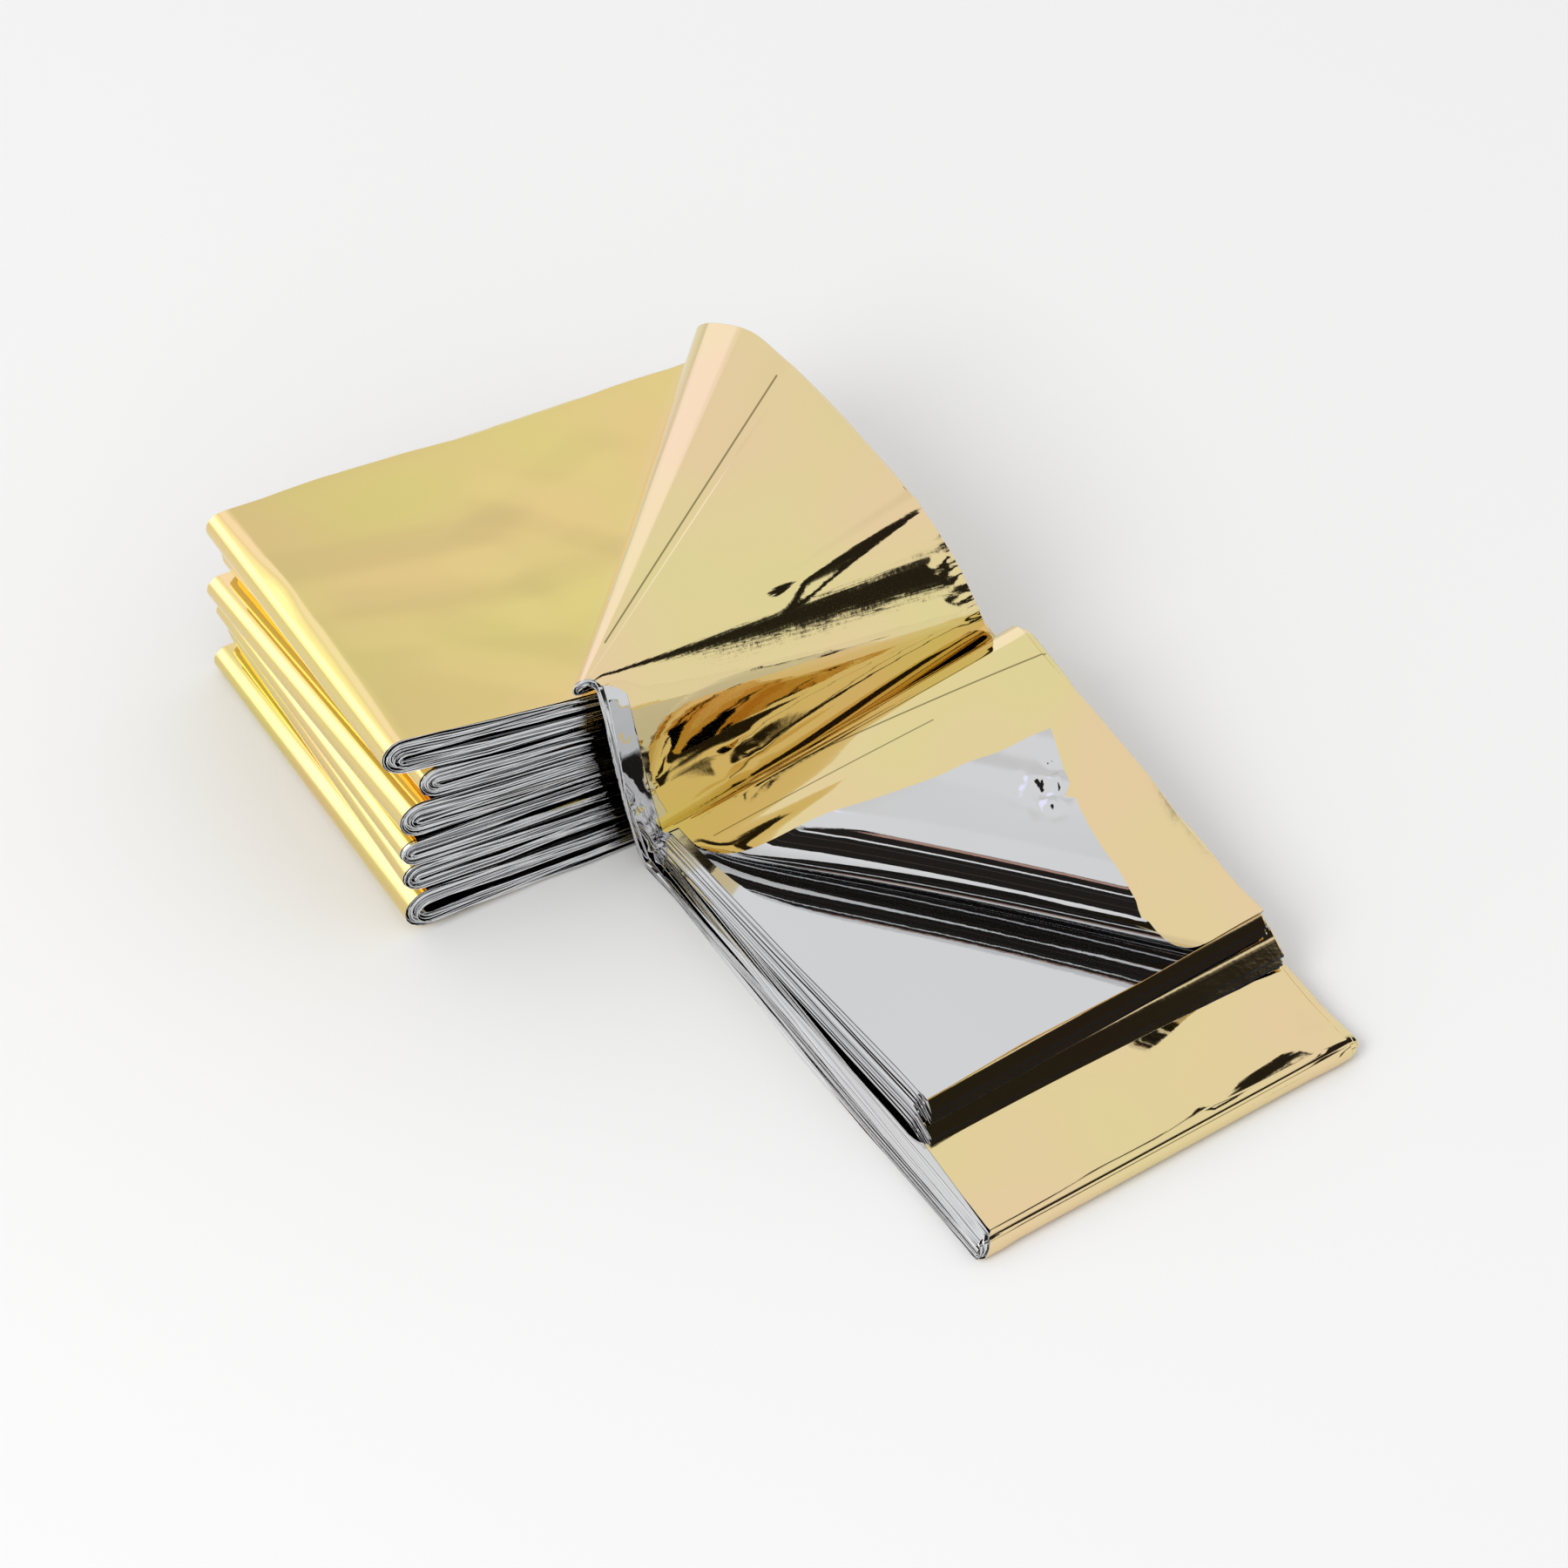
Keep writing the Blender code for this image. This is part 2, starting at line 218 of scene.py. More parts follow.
# %% The stack's panels
for number, (corners, inset_front, inset_back) in enumerate(left_levels()):
    lean_front, lean_back = corners[0][2] * LEAN, corners[1][2] * LEAN
    right_inset = RIGHT_INSETS[(number + 1) // 2] + PITCH / 2
    steps = TOP_STEPS if number == PANELS - 1 else HIDDEN_STEPS
    panel = [stack_line(corners, number,
                        mix(inset_front + lean_front, FRONT_LENGTH - right_inset, share) / FRONT_LENGTH,
                        mix(inset_back + lean_back, BACK_LENGTH - right_inset, share) / BACK_LENGTH)
             for share in np.linspace(0, 1, steps + 1)]
    leftward = number % 2 == 0
    if leftward:
        panel.reverse()
    if strip:
        reach = (PITCH / 2, PITCH / 2) if leftward else (lean_front, lean_back)
        lay("right fold" if leftward else "left fold",
            fold(strip[-1], panel[0], panel_reach(strip[-2], strip[-1], *reach),
                 panel_reach(panel[1], panel[0], *reach), 5 if leftward else 10))
    lay("stack top" if number == PANELS - 1 else "stacked", panel)
print("stack:", len(strip), "lines")

# %% [markdown]
# On top of the stack the strip turns back under itself, rolls over a diagonal, and lies down again as the
# upper layer, which is a fan of lines from one pinched corner. It then bends over the stack's front edge.

# %% The diagonal roll, the upper layer and the slant
ROLL_NARROW = 1.4             # thickness of the strip in the roll, at the pinched corner and at the back
ROLL_WIDE = 2.4
SMOOTHING = 40                # rounds that soften the bend
UPPER_LINES = 25              # lines of the bend that still lie on the stack
ROLL = (
    # front, back
    ((-36.4, -20.8, 51.6), (-14.2, 83.8, 44.2)),
    ((-40.0, -24.6, 53.6), (-17.2, 83.6, 46.8)),
    ((-40.6, -26.0, 55.8), (-14.4, 80.8, 50.6)),
    ((-39.6, -25.8, 56.8), (-7.0, 76.4, 52.6)),
    ((-38.6, -25.3, 56.9), (1.0, 70.2, 49.4)),
)
UPPER = (
    ((-38.0, -25.0, 56.8), (9.6, 59.4, 47.6)),
    ((-37.4, -24.8, 56.5), (19.2, 44.8, 47.2)),
    ((-36.8, -24.6, 55.9), (28.3, 31.0, 46.8)),
    ((-36.2, -24.4, 54.9), (31.8, 26.5, 42.5)),
    ((-35.7, -24.4, 53.2), (34.6, 22.0, 38.5)),
)
SLANT = (
    ((-35.0, -25.0, 50.0), (37.2, 18.3, 34.8)),
    ((-33.6, -27.4, 40.0), (39.5, 17.5, 29.0)),
    ((-31.8, -26.0, 26.0), (42.6, 21.2, 20.5)),
    ((-29.8, -23.5, 10.0), (44.4, 22.6, 15.8)),
    ((-27.4, -23.0, 1.5), (46.8, 19.4, 13.4)),
)
inset = RIGHT_INSETS[-1] + PITCH / 2
over_stack = np.array((0, 0, FOOT + PRESSED / 2 + PANELS * PITCH + GAP))
turn_start = line(FRONT_LEFT + heading(FRONT_HEADING) * (FRONT_LENGTH - inset) + over_stack,
                  BACK_LEFT + heading(BACK_HEADING) * (BACK_LENGTH - inset) + over_stack, ROLL_WIDE)
roll = [line(front, back, ROLL_NARROW, ROLL_WIDE) for front, back in ROLL]
upper = [line(front, back, ROLL_NARROW, PRESSED) for front, back in UPPER]
slant = [line(front, back) for front, back in SLANT]
slant[0][6] = ROLL_WIDE

right_reach = reach_along(heading(FRONT_HEADING), heading(BACK_HEADING), PITCH / 2, PITCH / 2)
lay("right fold", fold(strip[-1], turn_start, right_reach, right_reach, 5))
lay("under layer", run(turn_start, roll[0], 6)[:-1])
lay("roll", smooth(roll, 6))
bend = np.array(smooth([roll[-1]] + upper + slant, 5)[1:])
for _ in range(SMOOTHING):
    bend[4:-3] = (bend[3:-4] + 2 * bend[4:-3] + bend[5:-2]) / 4
lay("upper", bend[:UPPER_LINES])
lay("slant", bend[UPPER_LINES:])
print("turned:", len(strip), "lines")

# %% [markdown]
# The lying part has three panels: the lowest runs out to a tight end fold, the middle one comes back to the
# rounded valley fold beside the stack, and the top one runs out again to the cut end, where the plies spread.

# %% The lying panels
END_FRONT = np.array((38.9, -123.9, 0.0))
END_BACK = np.array((112.2, -73.5, 0.0))
END_THICKNESS = 2.2
VALLEY_FRONT = np.array((-25.0, -22.5, 0.0))
VALLEY_BACK = np.array((47.0, 19.0, 0.0))
VALLEY_REACH_FRONT = 3.0      # how far the rounded fold reaches towards the stack
VALLEY_REACH_BACK = 5.0
MIDDLE_RISE = (5.4, 20.2)     # height of the middle panel's centre beside the valley fold, front and back
TOP_RISE = (10.4, 27.4)
LYING_EASE = (1.6, 1.5)       # the bottom panel comes down a little faster than the two above it
CUT_FRONT = np.array((26.3, -95.5, 10.4))
CUT_BACK = np.array((94.9, -49.6, 13.6))
CUT_THICKNESS = 7.0

forward = END_FRONT - VALLEY_FRONT
forward /= np.linalg.norm(forward)
end_pitch = END_THICKNESS + GAP
end_low = line(END_FRONT - forward * end_pitch * 0.8, END_BACK - forward * end_pitch * 0.8, END_THICKNESS)
end_low[[2, 5]] = FOOT + END_THICKNESS / 2
end_high = end_low.copy()
end_high[[2, 5]] += end_pitch
reach_front, reach_back = forward * VALLEY_REACH_FRONT, forward * VALLEY_REACH_BACK
end_reach = reach_along(forward, forward, end_pitch * 0.6, end_pitch * 0.6)
valley_reach = reach_along(-forward, -forward, VALLEY_REACH_FRONT, VALLEY_REACH_BACK)
middle = line(VALLEY_FRONT + reach_front, VALLEY_BACK + reach_back)
top = line(VALLEY_FRONT + reach_front, VALLEY_BACK + reach_back, PRESSED + 0.4)
middle[[2, 5]] = MIDDLE_RISE
top[[2, 5]] = TOP_RISE
cut = line(CUT_FRONT, CUT_BACK, CUT_THICKNESS)

top_shares = np.concatenate((np.linspace(0, 0.88, 26), np.linspace(0.9, 1, 8)))    # finest at the cut end

lay("bottom", run(line(*SLANT[-1]), end_low, 12, LYING_EASE[0])[1:])
lay("end fold", fold(end_low, end_high, end_reach, end_reach))
lay("middle", run(middle, end_high, 26, LYING_EASE[1])[::-1])
lay("valley fold", fold(middle, top, valley_reach, valley_reach, 10))
lay("top", run(top, cut, top_shares, LYING_EASE[1]))

strip = np.array(strip)
zones = np.array(zones)
steps_along = np.linalg.norm(np.diff((strip[:, :3] + strip[:, 3:6]) / 2, axis=0), axis=1)
along = np.concatenate(((0.0,), np.cumsum(steps_along)))
print("strip:", len(strip), "lines,", round(along[-1]), "mm long")

# %% [markdown]
# The strip's own normals say which way its thickness goes. They are measured once on a grid of nine points
# across each line and looked up from there, so a point may be asked for anywhere on the strip.

# %% Where a point of the strip lies
ACROSS = np.linspace(0, 1, 9)
grid = strip[:, None, :3] * (1 - ACROSS)[None, :, None] + strip[:, None, 3:6] * ACROSS[None, :, None]
tangent = np.gradient(grid, axis=0)
sideways = np.gradient(grid, axis=1)
normals = np.cross(tangent, sideways)
normals /= np.linalg.norm(normals, axis=2)[..., None]


def look_up(table, place, share):
    """Bilinear look-up in a table over lines (place) and points across (share from 0 to 1)."""
    i = np.clip(np.floor(place).astype(int), 0, len(table) - 2)
    t = np.clip(place - i, 0, 1)[:, None]
    column = np.clip(share, 0, 1) * (table.shape[1] - 1)
    j = np.clip(np.floor(column).astype(int), 0, table.shape[1] - 2)
    r = (column - j)[:, None]
    low = table[i, j] * (1 - r) + table[i, j + 1] * r
    high = table[i + 1, j] * (1 - r) + table[i + 1, j + 1] * r
    return low * (1 - t) + high * t


def strip_point(place, share):
    """Middle point, normal, outward direction at the front edge, thickness and distance along."""
    i = np.clip(np.floor(place).astype(int), 0, len(strip) - 2)
    t = (place - i)[:, None]
    row = strip[i] * (1 - t) + strip[i + 1] * t
    front, back = row[:, :3], row[:, 3:6]
    point = front + (back - front) * share[:, None]
    outward = front - back
    outward /= np.linalg.norm(outward, axis=1)[:, None]
    normal = look_up(normals, place, share)
    normal /= np.linalg.norm(normal, axis=1)[:, None]
    thickness = row[:, 6] * (1 - share) + row[:, 7] * share
    distance = np.interp(place, np.arange(len(along)), along)
    return point, normal, outward, thickness, distance


print("normals on", normals.shape[:2], "points")

# %% [markdown]
# The plies. Across the strip the sheet runs to and fro: the outermost ply has a free edge at the front, the
# next fold is at the back, and so on through 18 plies. On the real object no two fold edges line up, and that
# unevenness makes the streaks on the stack's side, so every fold wanders in and out by its own slow waves.

# %% Columns of the sheet
OUTER_COLUMNS = 18            # points across the outermost ply
LOWEST_COLUMNS = 9
INNER_COLUMNS = 2
EDGE_SHARES = (0, 0.015, 0.03, 0.05, 0.08, 0.3, 0.65, 1)     # the second ply shows at the front edge
columns = []                  # (ply, share across, is it a fold tip)
for ply in range(PLIES - 1, -1, -1):
    count = OUTER_COLUMNS if ply == PLIES - 1 else (LOWEST_COLUMNS if ply == 0 else INNER_COLUMNS)
    shares = np.array(EDGE_SHARES) if ply == PLIES - 2 else np.linspace(0, 1, count)
    if ply % 2 == 0:
        shares = shares[::-1]
    columns += [(ply, share, 0) for share in shares]
    if ply:
        columns.append((ply - 0.5, shares[-1], 1))
columns = np.array(columns, float)
print(len(columns), "columns")

# %% Slow waves for every fold edge
WAVES = 4
phases = dice.uniform(0, 2 * pi, (2, PLIES, WAVES))
wave_lengths = np.array((170.0, 61.0, 23.0, 9.0))
wave_heights = np.array((0.55, 0.45, 0.10, 0.03))
offsets = dice.uniform(-0.6, 0.35, (2, PLIES))


def wander(side, number, distance):
    """How far a fold edge stands out of the strip's edge, in mm."""
    number = number.astype(int)
    waves = np.sin(2 * pi * distance[:, None] / wave_lengths + phases[side, number]) * wave_heights
    return offsets[side, number] + waves.sum(axis=1)


SPLIT_PLY = 7.5               # the cut end opens in two groups of plies
GAPE = 0.17                   # share of the thickness that the opening takes there
JITTER = 0.3                  # how unevenly the plies lie, in plies


def ply_depth(ply, place, distance):
    """Place of a ply in the strip's thickness, from -0.5 to 0.5."""
    depth = (ply + 0.5) / PLIES - 0.5
    inner = np.abs(depth) < 0.45
    jitter = JITTER / PLIES * np.sin(distance / 37.0 + ply * 2.4) * inner
    start = np.argmax(zones == "top")
    gape = GAPE * np.clip((place - start) / (len(strip) - 1 - start), 0, 1) ** 0.6
    return (depth + jitter) * (1 - gape) + np.sign(ply - SPLIT_PLY) * gape / 2


print("edge waves:", WAVES, "for", PLIES, "folds on each side")

# %% [markdown]
# Creases and dents are listed, each as a soft ridge along a segment of the plan. The ridges push the
# outermost ply out and the lowest ply in, and the crumples move the inner plies only near the front edge, so
# no ply cuts through the next.

# %% Creases and dents
def ridge(x, y, start, end, width, height, right_width=None, fade=10.0):
    """A soft ridge along a segment: a rounded tent, which may be wider on the segment's right."""
    start, end = np.array(start), np.array(end)
    axis = end - start
    length = np.linalg.norm(axis)
    axis = axis / length
    t = (x - start[0]) * axis[0] + (y - start[1]) * axis[1]
    d = (x - start[0]) * -axis[1] + (y - start[1]) * axis[0]
    ends = np.clip(np.minimum(t, length - t) / fade + 1, 0, 1)
    ends = ends * ends * (3 - 2 * ends)
    reach = np.where(d < 0, right_width or width, width)
    tent = np.clip(1 - np.sqrt(d * d + (0.12 * width) ** 2) / reach, 0, 1)
    return height * tent * ends


def crumple(x, y, z, centre, radius, height, scale, seed):
    """Sharp little facets near a point, where the film was pinched."""
    near = np.sqrt((x - centre[0]) ** 2 + (y - centre[1]) ** 2 + (z - centre[2]) ** 2) / radius
    weight = np.clip(1 - near, 0, 1)
    turns = np.random.default_rng(seed).uniform(0, 2 * pi, (5, 2))
    total = 0.0
    for angle, phase in turns:
        wave = (x * cos(angle) + y * sin(angle) + 0.7 * z * cos(2 * angle)) / scale + phase
        total = total + np.abs(np.sin(wave)) - 0.64
    return height * weight * total / 2


print("crease and crumple ready")

# %% Where the creases and crumples are
PUFF = {"stack top": 0.5, "upper": 0.4, "top": 0.5, "middle": 0.7, "slant": 0.4}
RIDGES = {
    # start, end, width, height, width on the right
    "stack top": (
        ((-100.0, 8.0), (-60.0, 22.0), 11.0, 0.6),
        ((-84.0, -2.0), (-52.0, 6.0), 10.0, 0.5),
        ((-60.0, 22.0), (-38.0, 52.0), 9.0, 0.5),
        ((-66.0, -8.0), (-44.0, -12.0), 10.0, 0.45),
        ((-58.0, 38.0), (-34.0, 30.0), 8.0, -0.5),
        ((-48.0, 8.0), (-34.0, 18.0), 8.0, 0.4),
    ),
    "upper": (
        ((-34.0, -13.0), (0.5, 67.0), 1.6, -0.14),
        ((25.6, 33.6), (3.0, 9.0), 3.2, 0.9),
    ),
    "top": (
        ((-14.0, -30.0), (51.0, 8.0), 2.4, -0.2),
    ),
    "middle": (
        ((93.0, -56.0), (99.5, -70.0), 2.5, 0.6),
        ((99.5, -76.5), (80.0, -92.5), 4.6, 1.3, 22.0),
        ((80.0, -93.5), (60.0, -107.5), 2.8, 0.8, 18.0),
        ((60.0, -108.0), (42.0, -120.5), 1.8, 0.5, 12.0),
    ),
}
CRUMPLES = (
    # centre, radius, height, scale
    ((30.5, 31.0, 46.0), 5.5, 0.7, 0.9),
    ((35.0, 23.5, 41.0), 5.5, 0.8, 0.9),
    ((39.0, 17.5, 34.0), 6.0, 0.8, 0.9),
    ((-30.0, -20.0, 6.0), 9.0, 1.0, 1.4),
    ((-36.5, -26.0, 51.0), 6.0, 0.5, 0.9),
    ((-34.0, -26.5, 40.0), 8.0, 0.8, 1.1),
    ((-32.0, -26.0, 24.0), 9.0, 0.9, 1.2),
    ((37.0, -121.0, 3.0), 8.0, 0.7, 1.2),
    ((109.0, -72.0, 3.0), 10.0, 0.8, 1.6),
    ((-9.0, -13.0, 22.0), 9.0, 0.7, 1.6),
    ((-68.0, -38.0, 40.0), 7.0, 0.6, 1.3),
)

print(sum(len(r) for r in RIDGES.values()), "ridges,", len(CRUMPLES), "crumpled places")

# %% How far the film stands off
def relief(point, share, zone):
    """How far the outermost film stands off the strip: puffed in the middle, never pressed in."""
    x, y, z = point.T
    stand_off = np.zeros(len(point))
    for name, height in PUFF.items():
        here = zone == name
        stand_off[here] = height * np.sin(pi * np.clip(share[here], 0, 1)) ** 0.7
    for name, ridges in RIDGES.items():
        here = zone == name
        for shape in ridges:
            stand_off[here] += ridge(x[here], y[here], *shape)
    return np.maximum(stand_off, 0.0)


def pinched(point):
    """Crumples that all plies share."""
    x, y, z = point.T
    push = np.zeros(len(point))
    for seed, (centre, radius, height, scale) in enumerate(CRUMPLES):
        push += crumple(x, y, z, centre, radius, height, scale, seed)
    return push


print("puffed:", ", ".join(PUFF))

# %% [markdown]
# The peeled corner. A sheet that rolls over a cylinder stays a sheet: its distance along the axis is kept and
# its distance from the axis line becomes a turn round the cylinder. Past half a turn the film leaves the roll
# and lies back, silver side up. Towards the pinched corner the roll gets narrower.

# %% The roll of the peeled corner
PEEL_START = np.array((-19.5, -26.7))
PEEL_HEADING = radians(-16.2)
PEEL_RADIUS = 7.5
PEEL_NARROW = 0.8             # radius at the pinched corner
PEEL_GROWTH = 8.5             # mm of the roll in which it opens
PEEL_SINK = 0.22              # how steeply the free part comes down behind the roll
PEEL_STRETCH = 0.01           # the free part lies a little wider than the ply it comes from
SOFT_FOLDS = (((8.0, -13.0), (68.0, -32.0), 5.0, 0.8), ((14.0, -4.0), (60.0, -17.0), 4.0, 0.5))
SOFT_FOLD_START = 6.0         # mm of free film in which the soft folds begin
CORNER_PINCH = ((36.0, -84.0, 12.0), 8.5, 2.4, 1.6, 40)      # centre, radius, height, scale, seed
FREE_EDGE_INSET = 3.2         # the outermost ply's free edge stands back from the strip's front edge
peel_forward = np.array((cos(PEEL_HEADING), sin(PEEL_HEADING)))
peel_aside = np.array((peel_forward[1], -peel_forward[0]))


print("roll of", PEEL_RADIUS, "mm radius")

# %% Rolling the corner
def top_height(x, y, lift):
    """Height of the top panel's upper side in the plan, for one depth inside the strip."""
    start, end = top[:2], cut[:2]
    axis = end - start
    length = np.linalg.norm(axis)
    axis = axis / length
    width = (top[3] - top[0]) * -axis[1] + (top[4] - top[1]) * axis[0]
    share = np.clip(((x - start[0]) * axis[0] + (y - start[1]) * axis[1]) / length, 0, 1.0)
    side = np.clip((-(x - start[0]) * axis[1] + (y - start[1]) * axis[0]) / width, 0, 1)
    fall = 1 - (1 - share) ** LYING_EASE[1]
    front = mix(top[2] + top[6] * lift, cut[2] + cut[6] * lift, fall)
    back = mix(top[5] + top[7] * lift, cut[5] + cut[7] * lift, fall)
    return mix(front, back, side)


def peel(point):
    """Roll the points of the outermost ply that lie in front of the roll's line."""
    offset = point[:, :2] - PEEL_START
    ahead = offset @ peel_forward
    aside = offset @ peel_aside
    radius = PEEL_NARROW + (PEEL_RADIUS - PEEL_NARROW) * (1 - np.exp(-np.maximum(ahead, 0) / PEEL_GROWTH))
    rolled = (aside > 0) & (ahead > -1.0)
    above = point[:, 2] - top_height(point[:, 0], point[:, 1], 0.5)
    turn = np.clip(aside / radius, 0, pi)
    free = np.maximum(aside - pi * radius, 0)
    free = free * (1 + PEEL_STRETCH * free)
    over = radius * np.sin(turn) - free
    rise = radius * (1 - np.cos(turn)) - PEEL_SINK * free
    spot = PEEL_START + ahead[:, None] * peel_forward + over[:, None] * peel_aside
    pinch = crumple(*point.T, *CORNER_PINCH)
    for shape in SOFT_FOLDS:
        pinch += ridge(*spot.T, *shape) * np.clip(free / SOFT_FOLD_START, 0, 1)
    height = top_height(spot[:, 0], spot[:, 1], 0.5) + rise + above + pinch
    moved = point.copy()
    moved[rolled] = np.column_stack((spot, height))[rolled]
    return moved, rolled


print("roll ready")

# %% [markdown]
# The mesh. Every vertex first holds only its place on the sheet: line number, share across, ply. Faces that
# show from outside are subdivided while the vertices are still such addresses, and the true positions are
# worked out at the end, so finer faces follow the folds and creases exactly.

# %% Addresses and faces
SHOWN_OUTER = ("stack top", "roll", "upper", "slant", "valley fold", "top")
rows, width = len(strip), len(columns)
sheet_mesh = bmesh.new()
layers = {name: sheet_mesh.verts.layers.float.new(name) for name in ("place", "share", "ply", "tip")}
vertices = []
for i in range(rows):
    for ply, share, tip in columns:
        vertex = sheet_mesh.verts.new((i, share, ply))
        vertex[layers["place"]] = i
        vertex[layers["share"]] = share
        vertex[layers["ply"]] = ply
        vertex[layers["tip"]] = tip
        vertices.append(vertex)
fine = []
for i in range(rows - 1):
    for j in range(width - 1):
        a = i * width + j
        corners = (a, a + width, a + width + 1, a + 1)
        face = sheet_mesh.faces.new([vertices[corner] for corner in corners])
        plies = {columns[j][0], columns[j + 1][0]}
        near_end = zones[i] == "end fold" or (zones[i] == "middle" and zones[i - 9] != "middle")
        if (plies == {PLIES - 1} and zones[i] in SHOWN_OUTER) or (plies == {0} and near_end):
            fine.append(face)
edges = list({edge for face in fine for edge in face.edges})
bmesh.ops.subdivide_edges(sheet_mesh, edges=edges, cuts=2, use_grid_fill=True)
print("faces:", len(sheet_mesh.faces), "of which subdivided from", len(fine))

# %% Where each point lies in the strip
sheet_mesh.verts.ensure_lookup_table()
address = np.array([[vertex[layer] for layer in layers.values()] for vertex in sheet_mesh.verts])
place, share, ply, tip = address.T
point, normal, outward, thickness, distance = strip_point(place, share)
zone = zones[np.clip(np.round(place).astype(int), 0, rows - 1)]
point = point + normal * (ply_depth(ply, place, distance) * thickness)[:, None]
outermost = ply > PLIES - 1.2
lowest = ply < 0.2
first = {name: int(np.argmax(zones == name)) for name in dict.fromkeys(zones.tolist())}
print(len(point), "points in", len(first), "kinds of place")

# %% How far every edge stands out
STEP_OUT = 0.4                # in the lying panels every deeper fold stands out a little further
TUCK = 7.0                    # the turn on top of the stack stays this far behind the bend that covers it
TUCK_LINES = 16               # lines of the stack's top panel before it draws back
TIP = 0.22                    # a fold's tip reaches this far past its two plies
LYING_TIP, LYING_WANDER = 0.06, 0.25     # the lying panels are pressed, so their edges are more even
OUTER_INSET = 0.4             # the outermost ply's free edge on the stack, and where it hangs and lies below
HANGING_INSET = 5.0
HANGING_LINES = 9             # lines in which it draws back to that
LOWEST_INSET, LOWEST_DRIFT = 2.0, 0.05   # the lowest ply's free edge runs askew along the middle panel
EDGE_ZONE = 0.12              # share of the strip's width that an edge's unevenness reaches into

stair = np.interp(place, (first["bottom"], first["bottom"] + 5, first["end fold"], first["middle"],
                          first["valley fold"], first["top"]), (0, 1, 1, -1, -1, 1))
tucked = np.interp(place, (first["stack top"] + TUCK_LINES, first["under layer"] - 5,
                           first["under layer"], first["roll"]), (0, TUCK, TUCK, 0))
front_fold = np.floor((ply + 1) / 2)
lying = np.isin(zone, ("bottom", "middle", "top"))
front_reach = wander(0, front_fold, distance) * np.where(lying, LYING_WANDER, 1.0)
front_reach += tip * np.where(lying, LYING_TIP, TIP)
front_reach += STEP_OUT * stair * (PLIES / 4 - front_fold)
front_reach -= tucked
back_reach = wander(1, np.floor(ply / 2), distance) + tip * TIP

front_reach[outermost] = -OUTER_INSET
front_reach[outermost & (zone == "top")] = -FREE_EDGE_INSET
front_reach[outermost & (zone == "bottom")] = -HANGING_INSET
on_bend = outermost & np.isin(zone, ("upper", "slant"))
hanging = np.clip((place - first["slant"] + HANGING_LINES) / HANGING_LINES, 0, 1)
front_reach[on_bend] = -OUTER_INSET - (HANGING_INSET - OUTER_INSET) * hanging[on_bend]
on_middle = lowest & (zone == "middle")
from_end = distance - along[first["middle"]]
front_reach[on_middle] = -(LOWEST_INSET + LOWEST_DRIFT * from_end[on_middle])
near_front = np.clip(1 - share / EDGE_ZONE, 0, 1)
near_back = np.clip(1 - (1 - share) / EDGE_ZONE, 0, 1)
point += outward * (near_front * front_reach - near_back * back_reach)[:, None]
print("edges reach", round(front_reach.min(), 1), "to", round(front_reach.max(), 1), "mm at the front")

# %% Dents and creases
INNER_PINCH = np.where(ply > PLIES - 2.2, 0.9, 0.4)     # inner plies follow a crumple only near the edge
PINCH_ZONE = 0.3
pinch = pinched(point)
stand_off = INNER_PINCH * np.clip(1 - share / PINCH_ZONE, 0, 1) * pinch
shown = relief(point, share, zone) + np.abs(pinch)
stand_off[lowest] = -shown[lowest]
stand_off[outermost] = shown[outermost]
point += normal * stand_off[:, None]
print("film stands off by up to", round(stand_off.max(), 1), "mm")

# %% The cut end
# Each ply ends a little differently: the two uppermost end first and stay flat, the others hang loose.
CUT_RUN = 5.0                 # the last stretch of the strip that the uneven cut is drawn from
CUT_SLOPE = 0.75              # how steeply the loose ends hang, and how much less in the lower group
LOWER_SLOPE = 0.85
UPPER_REACH = 1.6             # how far each group's first ply reaches past the cut
LOWER_REACH = 4.2
LOWER_SKEW = 1.6              # the lower group was cut askew
COMB = 0.34                   # the next plies show below it, one after the other
COMB_PLIES = 3
HIDDEN_STEP = 0.6             # and deeper ones draw back
BREAK = 1.2                   # the upper group starts to hang this far before the cut
NOTCHES = ((0.215, 1.6), (0.60, 1.3))    # share across, depth
NOTCH_WIDTH = 0.012

into_cut = np.clip(1 - (along[-1] - distance) / CUT_RUN, 0, 1)
upper_group = ply > SPLIT_PLY
whole = ply > PLIES - 2.2
down = np.where(upper_group, PLIES - 3 - ply, SPLIT_PLY - 0.5 - ply)
comb = COMB * np.minimum(down, COMB_PLIES) - HIDDEN_STEP * np.maximum(down - COMB_PLIES, 0)
cut_reach = np.where(upper_group, UPPER_REACH, LOWER_REACH + LOWER_SKEW * share) + comb
cut_reach = np.where(whole, 0.0, cut_reach) + 0.05 * np.sin(ply * 1.9) + 0.4 * np.sin(share * 9 + ply * 0.1)
for notch, size in NOTCHES:
    cut_reach -= size * np.exp(-((share - notch) / NOTCH_WIDTH) ** 2)
point[:, :2] += (into_cut * cut_reach)[:, None] * forward[None, :2]
past_edge = into_cut * (CUT_RUN + cut_reach) - CUT_RUN
hang = np.where(upper_group, np.maximum(past_edge + BREAK, 0), LOWER_SLOPE * np.maximum(past_edge, 0))
point[:, 2] -= np.where(whole, 0.0, hang * CUT_SLOPE)
print("cut end reaches up to", round(cut_reach.max(), 1), "mm past its line")

# %% Peel the corner and place the points
peeled_ply = outermost & (zone == "top")
moved, rolled = peel(point[peeled_ply])
point[peeled_ply] = moved
point[:, 2] = np.maximum(point[:, 2], FOOT + FILM)
for vertex, spot in zip(sheet_mesh.verts, (point - ORIGIN) * MM):
    vertex.co = spot
print("placed", len(point), "points;", int(rolled.sum()), "of them peeled")

